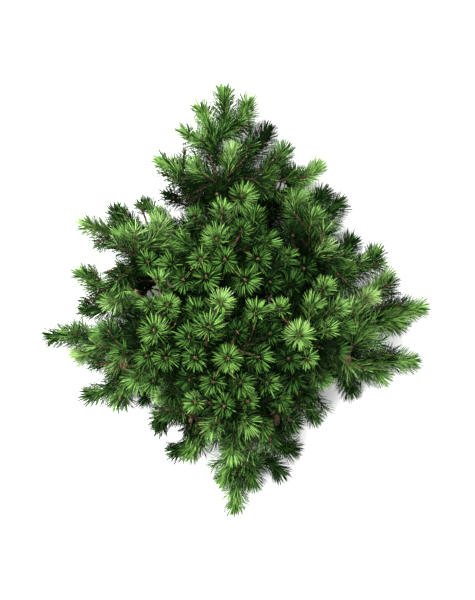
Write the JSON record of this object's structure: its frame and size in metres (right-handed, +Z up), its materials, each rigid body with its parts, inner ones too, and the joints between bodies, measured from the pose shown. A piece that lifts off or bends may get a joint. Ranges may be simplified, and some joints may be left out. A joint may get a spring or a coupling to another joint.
{
  "type": "dwarf mountain pine shrub",
  "caption": "Low, dense, rounded dwarf pine: a short trunk carrying tiers of boughs, each turning up into a mass of bottle-brush shoots of green needles, with small brown cones.",
  "frame": {"origin": "the middle of the flat cut under the trunk, at ground level", "axes": "+Z up, away from the ground; +Y toward the crown's furthest reach; +X to the right of it seen from above"},
  "size_m": [0.9567, 1.0618, 0.7053],
  "materials": {
    "bark": "rough scaly bark",
    "needles": "satin needles",
    "needles_new": "satin needles",
    "twigs": "matt ridged bark",
    "buds": "resinous scales",
    "cones": "matt woody scales"
  },
  "bodies": {
    "root": {"trunk": "bark", "bough_rim_1": "bark", "bough_rim_2": "bark", "bough_rim_3": "bark", "bough_rim_4": "bark", "bough_rim_5": "bark", "bough_rim_6": "bark", "bough_rim_7": "bark", "bough_rim_8": "bark", "bough_rim_9": "bark", "bough_rim_10": "bark", "bough_rim_11": "bark", "bough_rim_12": "bark", "bough_rim_13": "bark", "bough_rim_14": "bark", "bough_rim_15": "bark", "bough_middle_1": "bark", "bough_middle_2": "bark", "bough_middle_3": "bark", "bough_middle_4": "bark", "bough_middle_5": "bark", "bough_middle_6": "bark", "bough_middle_7": "bark", "bough_upper_1": "bark", "bough_upper_2": "bark", "bough_upper_3": "bark", "bough_upper_4": "bark", "foliage_rim_1": "needles", "foliage_rim_2": "needles", "foliage_rim_3": "needles", "foliage_rim_4": "needles", "foliage_rim_5": "needles", "foliage_rim_6": "needles", "foliage_rim_7": "needles", "foliage_rim_8": "needles", "foliage_rim_9": "needles", "foliage_rim_10": "needles", "foliage_rim_11": "needles", "foliage_rim_12": "needles", "foliage_rim_13": "needles", "foliage_rim_14": "needles", "foliage_rim_15": "needles", "foliage_middle_1": "needles", "foliage_middle_2": "needles", "foliage_middle_3": "needles", "foliage_middle_4": "needles", "foliage_middle_5": "needles", "foliage_middle_6": "needles", "foliage_middle_7": "needles", "foliage_upper_1": "needles", "foliage_upper_2": "needles", "foliage_upper_3": "needles", "foliage_upper_4": "needles", "foliage_top": "needles"}
  },
  "joints": []
}
